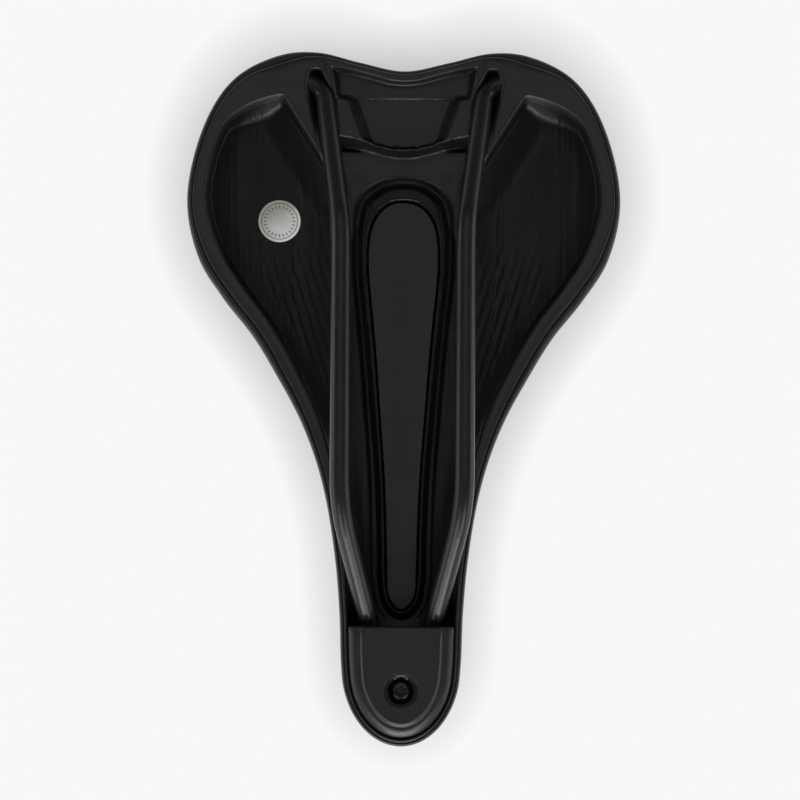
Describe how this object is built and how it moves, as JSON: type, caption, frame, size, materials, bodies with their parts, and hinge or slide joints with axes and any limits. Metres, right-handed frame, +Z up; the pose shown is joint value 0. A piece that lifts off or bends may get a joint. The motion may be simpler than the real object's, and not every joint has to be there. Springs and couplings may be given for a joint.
{
  "type": "bicycle saddle",
  "caption": "Bicycle saddle: black moulded shell on a bent steel rail, padded cover, lined pressure channel and a screwed nose cover.",
  "frame": {"origin": "midway between the two rail axes, at the middle of their level stretch, where a seatpost clamp holds the saddle", "axes": "+X to the nose, +Y to the rider's left, +Z up to the seat side"},
  "size_m": [0.2475, 0.1546, 0.0602],
  "materials": {
    "shell": "satin, finely brushed tool marks on the underside, polished rim",
    "rail": "gloss black paint",
    "nose_cover": "satin moulded",
    "nose_screw": "plain steel",
    "channel_insert": "fine grain",
    "padding": "foam",
    "cover": "synthetic, fine grain",
    "label": "silver foil"
  },
  "bodies": {
    "root": {"shell": "shell", "rail": "rail", "nose_cover": "nose_cover", "nose_screw": "nose_screw", "channel_insert": "channel_insert", "padding": "padding", "cover": "cover", "label": "label"}
  },
  "joints": []
}
